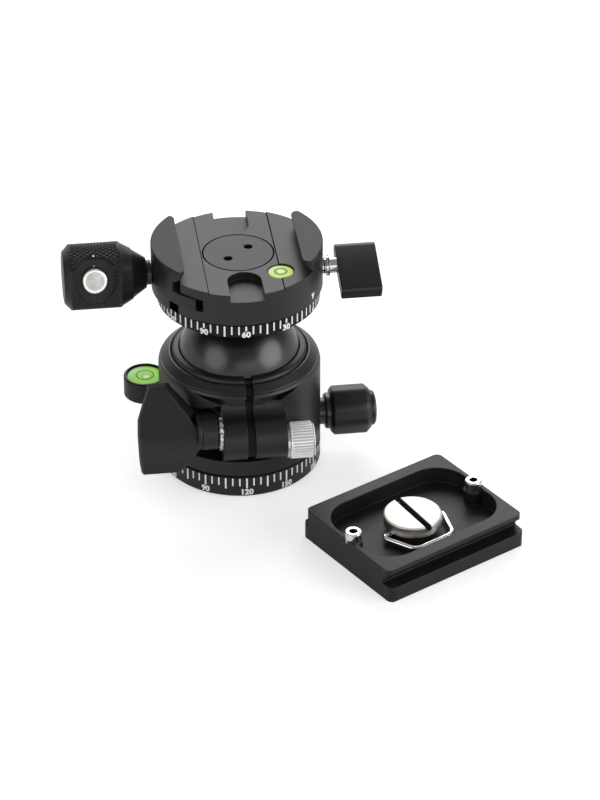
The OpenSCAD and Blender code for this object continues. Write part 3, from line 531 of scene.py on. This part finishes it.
# painted shade between the ribs: darker below their tips, and not at the two ends
tip = max(math.hypot(v.y - middle[1], v.z - middle[2]) for v in ribs)
x, y, z = bright_knob.axes()
y, z = y - middle[1], z - middle[2]
groove_shade = (1 - (y * y + z * z).math("SQRT").ramp(tip - 0.32 * MM, tip - 0.12 * MM)) * (x - middle[0]).near(0, 3.4, 0.2)
bright_knob.set(Metallic=0.35, Base_Color=bright_knob.blend(groove_shade * 0.8, grey(0.98), grey(0.2)))
dress(bright_knob, "friction_knob")
dress(bright_steel("friction_washer_steel", 0.7, 0.3), "friction_washer")
dress(bright_steel("friction_screw_steel", 0.5, 0.35), "friction_screw")

# ---- Pan lock ----
# A fluted aluminium thumb knob, black anodised, with a pressed-in cap, on a steel screw. The screw pushes a
# bronze shoe against the base's hub.
black_knob = anodised("satin_black_pan_knob", 0.010, 0.38, 0.3, 0.7)
LOBES, LOBE_TURN = 8, math.radians(5.5)
PAN_AXIS = Vector((0, 0, 12.8))


def lobed_knob(bm):
    """Eight soft lobes round the grip, with both ends chamfered."""
    rings = []
    for r, x, lobe in ((2.45, 26.92, 0), (5.2, 26.92, 0), (6.3, 27.0, 0.05), (7.1, 27.7, 0.13), (7.25, 28.1, 0.15),
                       (7.25, 37.3, 0.15), (7.15, 37.6, 0.13), (5.9, 38.95, 0.05), (5.45, 39.1, 0), (2.0, 39.1, 0)):
        rings.append([])
        for a in circle(192):
            away = r + lobe * math.cos(LOBES * (a - LOBE_TURN))
            rings[-1].append(bm.verts.new((PAN_AXIS + Vector((x, -away * math.sin(a), away * math.cos(a)))) * MM))
    skin(bm, rings)


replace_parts(make("pan_knob_grip", "pan_lock", black_knob, lobed_knob, smooth=25), "pan_lock_knob")
CAP = ((4.0, 38.5), (5.3, 38.9), (5.3, 39.7), (5.0, 40.2), (4.3, 40.55), (3.2, 40.75), (1.6, 40.86), (0.05, 40.9))
cap = make("pan_knob_cap", "pan_lock", anodised("turned_black_cap", 0.009, 0.3, 0.4, 0.4, (PAN_AXIS, "X", 0.3)),
           lambda bm: turned(bm, CAP, PAN_AXIS), smooth=25)
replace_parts(cap, "pan_lock_cap")
dress(anodised("black_steel_shank", 0.02, 0.3, 0.2, 0.4, (PAN_AXIS, "X", 0.4), 1.6), "pan_lock_screw")
dress(bronze, "pan_lock_shoe")

# ---- Top pan ----
# A turned ring fixed on the ball's neck, with the second scale on its rim. The clamp turns on it, held down by a
# flush cap with two spanner holes.
f = anodised("turned_black_top_ring", 0.008, 0.36, 0.15, 0.5, ((0, 0, 0), "Z", 0.35), 1.27)
dress(f.gap(f.axes()[2].ramp(58.76 * MM, 58.82 * MM)), "top_ring")
f = anodised("turned_black_centre_cap", 0.010, 0.42, 0.3, 0.6, ((0, 0, 0), "Z", 0.4), 1.4)
x, y, z = f.axes()
dress(f.gap((x * x + y * y).math("SQRT").ramp(9.98 * MM, 10.1 * MM)), "centre_cap")
dress(bright_steel("stem_screw_steel", 0.5, 0.35), "stem_screw")
RING_R, RING_ZERO = 23.7 * MM, 58.8
scale_ticks("top_ticks", "ball", RING_R, top=58.75 * MM, short=2.7 * MM, long=3.4 * MM, numbered=1.5 * MM,
            zero=RING_ZERO, sense=-1)
scale_numbers("top_numbers", "ball", RING_R, 56.05 * MM, RING_ZERO, -1)

# ---- Clamp ----
# A round clamp milled from aluminium, black anodised: a fixed jaw in one piece with the body, a sliding jaw with
# its tongue on two steel guide pins, a lowered bed, a front notch, and a white index mark over the scale.
def clamp_black(name, gloss):
    """The clamp's black, duller on the tops of the jaws, and where its foot meets the ring under it."""
    f = anodised(name, 0.010, 0.42, 0.3, 1.0, gloss=gloss, wear_and_sheen=0.05)
    z = f.axes()[2]
    f.set(Roughness=f.noise(420, 2) * 0.07 + z.ramp(71.5 * MM, 72.5 * MM, 0.39, 0.5))
    return f, 1 - z.ramp(59.58 * MM, 59.66 * MM)


f, foot = clamp_black("satin_black_clamp", 1.4)
dress(f.gap(foot), "clamp_jaw")
f, foot = clamp_black("satin_black_clamp_body", 1.45)
x, y, z = f.axes()
out = (x * x + y * y).math("SQRT")
bed = (z > 69.0 * MM) * (z < 70.0 * MM)
seams = bed * (out.near(10.3, 0.2) + x.math("ABSOLUTE").near(10.82, 0.14))
dress(f.gap((seams + foot).math("MINIMUM", 1.0)), "clamp_base")
dress(bright_steel("guide_pin_steel", 0.7, 0.25), "guide_pins")
f = Finish("index_white")
f.set(Base_Color=f.blend(f.noise(1500, 2), grey(0.7), grey(0.82)), Roughness=0.6)
CLAMP_R, MARK_TURN = 24.5, math.radians(54.5)


def index_mark(bm):
    """A small triangle that points down at the scale."""
    corners = ((-0.95, 62.7), (0.95, 62.7), (0, 60.4))
    bm.faces.new([bm.verts.new(on_drum((CLAMP_R + 0.02) * MM, MARK_TURN + x / CLAMP_R, z * MM)) for x, z in corners])


make("index_mark", "clamp", f, index_mark, smooth=0)

# ---- Clamp knob ----
# A turned aluminium knob with a cone neck and a diamond knurl, black anodised. A flat is milled round the steel
# release button, which is pushed in to let the knob run.
KNOB_AXIS = Vector((0, 0, 64.8))
BUTTON_X, BUTTON_TILT = -42.1, math.radians(20)
button_dir = Vector((0, -math.cos(BUTTON_TILT), math.sin(BUTTON_TILT)))
BUTTON_FLAT, FLAT_R, HOLE_R, HOLE_FLOOR = 7.2, 6.4, 3.75, 2.9
button_at = KNOB_AXIS + Vector((BUTTON_X, 0, 0))
black_grip = anodised("satin_black_clamp_knob", 0.011, 0.36, 0.25, 0.6, (KNOB_AXIS, "X", 0.4), 1.34)


def knob_body(bm):
    """The cone neck, a rim, the drum that the teeth stand on, the other rim and the end."""
    turned(bm, ((1.95, -26.92), (4.4, -26.92), (7.0, -30.8), (7.4, -31.0), (9.1, -34.0), (9.6, -34.5), (9.6, -35.0),
                (9.38, -35.15), (9.38, -48.55), (9.6, -48.7), (9.55, -48.9), (7.6, -50.8), (6.5, -51.0),
                (2.0, -51.15)), KNOB_AXIS, around=128)


def cylinder_along(bm, centre, direction, radius, low, high):
    """A cutter: a cylinder from low to high along a direction."""
    side = direction.orthogonal().normalized()
    other = direction.cross(side)
    skin(bm, [[bm.verts.new((centre + direction * h + (side * math.cos(a) + other * math.sin(a)) * radius) * MM)
               for a in circle(96)] for h in (low, high)])


def cut(obj, build):
    """Cuts a shape out of a piece."""
    bm = bmesh.new()
    build(bm)
    bmesh.ops.recalc_face_normals(bm, faces=bm.faces)
    mesh = as_mesh(bm, "cutter")
    cutter = bpy.data.objects.new("cutter", mesh)
    scene.collection.objects.link(cutter)
    mod = obj.modifiers.new("cut", "BOOLEAN")
    mod.object, mod.solver, mod.operation = cutter, "EXACT", "DIFFERENCE"
    settle(obj)
    bpy.data.objects.remove(cutter)
    bpy.data.meshes.remove(mesh)
    obj.data.polygons.foreach_set("use_smooth", [True] * len(obj.data.polygons))
    obj.data.set_sharp_from_angle(angle=math.radians(30))


knob = make("clamp_knob_body", "clamp_knob", black_grip, knob_body)
cut(knob, lambda bm: cylinder_along(bm, button_at, button_dir, FLAT_R, BUTTON_FLAT, 12))
cut(knob, lambda bm: cylinder_along(bm, button_at, button_dir, HOLE_R, HOLE_FLOOR, 12))
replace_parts(knob, "clamp_knob")
dress(anodised("black_knob_washer", 0.02, 0.3, 0.2, 0.3), "knob_washer")

TEETH_AROUND, TEETH_ROWS, FIRST_ROW = 44, 15, -35.35 * MM
g = Growth("knurl")
around, radius = g.size("Around", float(TEETH_AROUND)), g.size("Radius", 9.4 * MM)
pitch = g.size("Pitch", 0.93 * MM)
index = g.node("GeometryNodeInputIndex", {})
row = (index / around).math("FLOOR")
angle = (index - row * around + row.math("MODULO", 2.0) * 0.5) * (2 * math.pi) / around
place = g.vector(FIRST_ROW - row * pitch, angle.math("SINE") * radius * -1, angle.math("COSINE") * radius)
place = g.vector_math("ADD", place, tuple(KNOB_AXIS * MM))
points = g.node("GeometryNodeSetPosition", {}, g.node("GeometryNodePoints", {}, Count=TEETH_AROUND * TEETH_ROWS),
                Position=place)
# the milled flat has cut these teeth away
from_button = g.vector_math("SUBTRACT", place, tuple(button_at * MM))
along = g.vector_math("DOT_PRODUCT", from_button, tuple(button_dir), out="Value")
far = g.vector_math("LENGTH", from_button, out="Value")
off_axis = (far * far - along * along).math("SQRT")
gone = g.node("FunctionNodeBooleanMath", {"operation": "AND"},
              g.node("FunctionNodeCompare", {"operation": "GREATER_THAN"}, along, 0.0),
              g.node("FunctionNodeCompare", {"operation": "LESS_THAN"}, off_axis, 6.75 * MM))
points = g.node("GeometryNodeDeleteGeometry", {}, points, gone)
tooth = g.node("GeometryNodeMeshCone", {"fill_type": "NGON"}, Vertices=4, Radius_Top=0.2 * MM,
               Radius_Bottom=0.68 * MM, Depth=0.2 * MM)
# each tooth is turned to stand straight out from the drum
_, y, z = g.split(g.node("GeometryNodeInputPosition", {}))
spin = (y * -1).math("ARCTAN2", z - KNOB_AXIS.z * MM)
teeth = g.node("GeometryNodeInstanceOnPoints", {}, points, Instance=tooth, Rotation=g.vector(spin, 0.0, 0.0),
               Scale=(1.42, 1.0, 1.0))
knurl = g.grow("clamp_knob_knurl", teeth, anodised("satin_black_knurl", 0.010, 0.38, 0.05, 0.3, gloss=1.32))
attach(knurl, "clamp_knob")

f = bright_steel("button_steel", 0.8, 0.3, edge=0.3, warm=0.015)
from_button = f.vector_math("SUBTRACT", f.place, tuple(button_at * MM))
out = f.vector_math("LENGTH", f.vector_math("CROSS_PRODUCT", from_button, tuple(button_dir)), out="Value")
# the middle is painted darker and mottled, so the bright rim is a painted highlight on its chamfer
middle = 1 - out.ramp(2.5 * MM, 3.0 * MM)
f.set(Base_Color=f.blend(middle * f.noise(350, 2).ramp(0.25, 0.7, 0.6, 1.0), grey(0.9, 0.01), grey(0.42, 0.04)))
dress(f, "release_button")


def dot(bm):
    """A white dot beside the button and a smaller one nearer to it."""
    up, side = Vector((1, 0, 0)).cross(button_dir) * -1, Vector((1, 0, 0))
    for rise, height, size in ((6.95, 6.62, 0.3), (4.15, 7.25, 0.16)):
        spot = button_at + button_dir * height + up * rise
        normal = (button_dir * height + up * rise).normalized() if rise > 6 else button_dir
        away = side.cross(normal)
        bm.faces.new([bm.verts.new((spot + normal * 0.06 + (side * math.cos(a) + away * math.sin(a)) * size) * MM)
                      for a in circle(20)])


make("lock_dot", "clamp_knob", scale_white, dot, smooth=0)

# ---- Top pan lever ----
# A short flat lever of black anodised aluminium on a grooved steel shaft; it pushes a bronze shoe against the
# spigot that the clamp turns on.
LEVER_AXIS, LEVER_DROOP, LEVER_WIDTH = Vector((28.7, 0, 63.1)), math.radians(17.5), 11.98


def lever_wing(bm):
    """A flat wing with a round crest behind and a square front edge."""
    side = [(-11.75, -1.7), (-11.85, 1.5), (-11.5, 2.05), (-10.9, 2.2), (4.6, 2.6)]
    side += [(4.6 + 2.5 * math.sin(t), 0.15 + 2.45 * math.cos(t)) for t in (math.pi * k / 12 for k in range(1, 12))]
    side += [(4.6, -2.2), (-11.2, -2.2)]
    c, s = math.cos(LEVER_DROOP), math.sin(LEVER_DROOP)
    skin(bm, [[bm.verts.new((LEVER_AXIS + Vector((x, c * u - s * w, s * u + c * w))) * MM) for u, w in side]
              for x in (0, LEVER_WIDTH)])


black_lever = anodised("satin_black_lever", 0.010, 0.34, 0.1, 1.0)
lever = make("top_lever_wing", "top_lever", black_lever, lever_wing, 25)
bevelled(lever, 0.45, 4, 50)
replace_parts(lever, "lever_grip")
f = bright_steel("lever_shaft_steel", 0.75, 0.14, (LEVER_AXIS, "X", 0.8), edge=0.2)
along = f.axes()[0]
# the two grooves are painted near-black: painted shade in them
dress(f.gap((along.near(24.95, 0.25) + along.near(26.2, 0.16)).math("MINIMUM", 1.0) * 0.85), "lever_shaft")
dress(bronze, "lever_shoe")

# ---- Levels ----
# Round spirit levels: green fluid under a low clear dome, a printed ring and a bubble. The larger one sits in a
# black cup at the housing's side, the smaller one in the clamp's bed.
dress(anodised("turned_black_level_cup", 0.008, 0.38, 0.2, 0.6, gloss=1.38), "level_cup")


def level_face(name, body, centre, radius, ring_r, tint, dark, bubble, node_name):
    """A level's face: its dome, with fluid, ring, bubble and rim drawn in the finish, and a faint painted glow."""
    f = Finish(name)
    x, y, z = f.axes()
    u, v = x - centre[0] * MM, y - centre[1] * MM
    out = (u * u + v * v).math("SQRT")
    bu, bv = u - bubble[0] * MM, v - bubble[1] * MM
    off = (bu * bu + bv * bv).math("SQRT")
    line = out.near(ring_r, 0.2)
    rim = out.ramp((radius - 0.45) * MM, (radius - 0.2) * MM)
    milky = (v - u).ramp(radius * 0.55 * MM, radius * 1.25 * MM) * out.ramp(ring_r * 1.05 * MM, ring_r * 1.25 * MM)
    bead = off.near(1.25, 0.14, 0.1)
    inside = 1 - off.ramp(0.9 * MM, 1.2 * MM)
    glow = f.noise(500, 2)
    colour = f.blend(glow, tint + (1,), tuple(c * 1.12 for c in tint) + (1,))
    colour = f.blend(milky * 0.55, colour, (0.62, 0.72, 0.58, 1))
    colour = f.blend(inside * 0.45, colour, (0.85, 1, 0.6, 1))
    colour = f.blend(bead * 0.75, colour, tuple(c * 0.22 for c in tint) + (1,))
    colour = f.blend(line * 0.95, colour, dark + (1,))
    colour = f.blend(rim * 0.85, colour, tuple(c * 0.6 for c in dark) + (1,))
    # the colour is also given off as a faint glow: painted light
    f.set(Base_Color=colour, Emission_Color=colour, Emission_Strength=0.22, Roughness=0.4, IOR=1.3)

    def dome(bm):
        profile = [(radius, centre[2] - 1.6), (radius, centre[2] - 0.15)]
        profile += [(radius * math.cos(t), centre[2] - 0.15 + 0.35 * math.sin(t)) for t in
                    (math.pi / 2 * k / 10 for k in range(1, 10))] + [(0.05, centre[2] + 0.2)]
        turned(bm, profile, (centre[0], centre[1], 0), "Z")

    piece = make(name, body, f, dome, smooth=60)
    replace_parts(piece, node_name)


level_face("level_fluid", "housing", centre=(-27.24, 9.65, 23.45), radius=5.55, ring_r=2.55,
           tint=(0.26, 0.62, 0.05), dark=(0.012, 0.045, 0.004), bubble=(0.3, -0.9), node_name="level_vial")
level_face("clamp_fluid", "clamp", centre=(10.9, -12.2, 69.25), radius=3.88, ring_r=1.75,
           tint=(0.52, 0.68, 0.17), dark=(0.03, 0.06, 0.008), bubble=(0.0, 0.0), node_name="clamp_vial")

# ---- Camera plate ----
# The quick-release plate lies beside the head, underside up: black anodised aluminium with a milled recess,
# two steel stop screws, and a nickelled camera screw with a folding wire ring.
PLATE_AT, PLATE_TURN = Vector((44.3, -51.6, 0)), math.radians(29)
pc, ps = math.cos(PLATE_TURN), math.sin(PLATE_TURN)
black_plate = anodised("satin_black_plate", 0.009, 0.44, 0.35, 1.2, gloss=1.37, wear_and_sheen=0.06)
milled = node["plate"].data
shape = bpy.data.meshes.new("plate_body")
shape.from_pydata([tuple(v.co) for v in milled.vertices], [], [tuple(p.vertices) for p in milled.polygons])
flat_plate = finished("plate_body", shape, "plate", black_plate)
upper = [(v.co.x - PLATE_AT.x * MM, v.co.y - PLATE_AT.y * MM)
         for v in flat_plate.data.vertices if v.co.z > 9.5 * MM]
half_len = max(abs(p * pc + q * ps) for p, q in upper) / MM
half_wide = max(abs(q * pc - p * ps) for p, q in upper) / MM


def on_plate(u, v, z):
    """A point given along the plate, across it and above the table."""
    return (PLATE_AT + Vector((u * pc - v * ps, u * ps + v * pc, z))) * MM


def corner_waste(bm):
    """What is milled off outside the round upper corners."""
    r = 1.8
    for su, sv in ((1, 1), (1, -1), (-1, 1), (-1, -1)):
        outline = [(half_len + 1, half_wide + 1), (half_len - r, half_wide + 1)]
        outline += arc(half_len - r, half_wide - r, r, 90, -90, 8) + [(half_len + 1, half_wide - r)]
        skin(bm, [[bm.verts.new(on_plate(su * u, sv * v, z)) for u, v in outline] for z in (4.8, 12)])


cut(flat_plate, corner_waste)
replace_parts(flat_plate, "plate")
f = bright_steel("stop_screw_steel", 0.85, 0.22, edge=0.2)
x, y, z = f.axes()
# the hex sockets are painted near-black: painted shade in them
socket_shade = 0
for u in (-21.85, 21.85):
    at = on_plate(u, 0, 0)
    p, q = x - at.x, y - at.y
    socket_shade = (1 - (p * p + q * q).math("SQRT").ramp(1.32 * MM, 1.42 * MM)) + socket_shade
dress(f.gap(socket_shade * (z < 12.1 * MM) * 0.85), "stop_screws")

f = bright_steel("camera_screw_nickel", 0.72, 0.35, warm=0.05, edge=0.12)
x, y, z = f.axes()
SCREW_X, SCREW_Y, SLOT_TURN = 43.70 * MM, -53.19 * MM, math.radians(24)
across_slot = (x - SCREW_X) * math.cos(SLOT_TURN) + (y - SCREW_Y) * math.sin(SLOT_TURN)
# the slot is painted near-black: painted shade on its walls and floor
slot_shade = across_slot.near(0, 1.01, 0.08) * (z > 9.2 * MM) * (z < 10.72 * MM)
dress(f.set(Metallic=z.ramp(10.4 * MM, 10.6 * MM, 1.0, 0.3)).gap(slot_shade * 0.95), "camera_screw")

WIRE_R, RING_AT = 0.75, Vector((-1.3, -1.1, 6.5))


def folding_ring(bm):
    """Wire bent to a half loop: two pins in the screw's head, two arms leaning in, a straight front bar."""
    path = [Vector((0, -10.4, 0))]
    path += [Vector((u, v, 0)) for u, v in arc(4.775, -7.4, 3, -90, 68, 8)]
    start, bend, end = Vector((10.18, -2.04, 0)), Vector((11, 0, 0)), Vector((8.9, 0, 0))
    path += [start * (1 - t) ** 2 + bend * 2 * t * (1 - t) + end * t * t for t in (k / 8 for k in range(9))]
    path += [Vector((5.0, 0, 0))]
    path = [Vector((-p.x, p.y, 0)) for p in reversed(path[1:])] + path
    rings = []
    for k, p in enumerate(path):
        ahead = (path[min(k + 1, len(path) - 1)] - path[max(k - 1, 0)]).normalized()
        side = Vector((-ahead.y, ahead.x, 0))
        ring = []
        for a in circle(14):
            q = p + side * (WIRE_R * math.cos(a)) + Vector((0, 0, WIRE_R * math.sin(a))) + RING_AT
            ring.append(bm.verts.new(on_plate(*q)))
        rings.append(ring)
    skin(bm, rings)


wire_steel = bright_steel("ring_wire_steel", 0.85, 0.2)
wire = make("folding_wire_ring", "finger_ring", wire_steel, folding_ring, smooth=60)
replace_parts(wire, "finger_ring")

# ---- Table and studio light ----
# A plain white table under one broad panel behind, and three soft lights in front: left, right and a low one.
# The world is white where it is seen, and dimmer where it only lights the pieces.
table = Finish("table")
table.set(Base_Color=table.blend(table.noise(4, 2), grey(0.79), grey(0.81)), Roughness=0.7)
SHEEN_SHARE = 0.3
seen_by, shines, through = table.ray_kinds()
seen = (seen_by + shines * SHEEN_SHARE + through).math("MINIMUM", 1.0)
table.set(Emission_Color=table.blend(seen, (0, 0, 0, 1), (1, 1, 1, 1)), Emission_Strength=0.5)
ground = bpy.data.meshes.new("table")
ground.from_pydata([(-4, -4, 0), (4, -4, 0), (4, 4, 0), (-4, 4, 0)], [], [(0, 1, 2, 3)])
floor = bpy.data.objects.new("table", ground)
scene.collection.objects.link(floor)
dress(table, floor)


class Studio(Tree):
    """The world's own node tree."""

    def __init__(self):
        world = bpy.data.worlds.new("studio")
        scene.world = world
        world.use_nodes = True
        self.nodes, self.links = world.node_tree.nodes, world.node_tree.links


studio = Studio()
seen_by, shines, through = studio.ray_kinds()
# what shines sees the backdrop too: white behind and near the table, dimmer overhead and towards the front
_, toward, height = studio.split(studio.node("ShaderNodeTexCoord", {}, out="Generated"))
backdrop = 1 - height.ramp(-0.02, 0.22) * (1 - toward.ramp(0.45, 0.85)) * 0.72
plain = seen_by + through
AMBIENT = 0.4
studio.plug(studio.nodes["Background"].inputs["Color"], (1, 1, 1, 1))
studio.plug(studio.nodes["Background"].inputs["Strength"],
            plain + shines * backdrop * (1 - plain) + (1 - plain - shines).math("MAXIMUM", 0.0) * AMBIENT)

LAMP_AIM = Vector((0, 0, 0.04))


def lamp(name, turn_deg, rise_deg, away, wide, tall, radiance):
    """A soft panel seen from the head at a turn (from -Y towards +X) and a rise."""
    a, e = math.radians(turn_deg), math.radians(rise_deg)
    data = bpy.data.lights.new(name, "AREA")
    data.shape, data.size, data.size_y = "ELLIPSE", wide, tall
    data.energy = radiance * math.pi * wide * tall
    obj = bpy.data.objects.new(name, data)
    way = Vector((math.sin(a) * math.cos(e), -math.cos(a) * math.cos(e), math.sin(e)))
    obj.location = way * away + LAMP_AIM
    obj.rotation_euler = (LAMP_AIM - obj.location).to_track_quat("-Z", "Y").to_euler()
    scene.collection.objects.link(obj)


# turn and rise in degrees, distance, width, height, radiance
lamp("back_panel", 174, 33, 1.8, 2.1, 1.15, 1.95)
lamp("left_soft", -55, 20, 1.5, 1.2, 0.95, 1.5)
lamp("right_soft", 60, 17, 1.5, 1.35, 1.05, 2.8)
lamp("front_low", 10, 14, 1.5, 1.4, 0.45, 0.9)
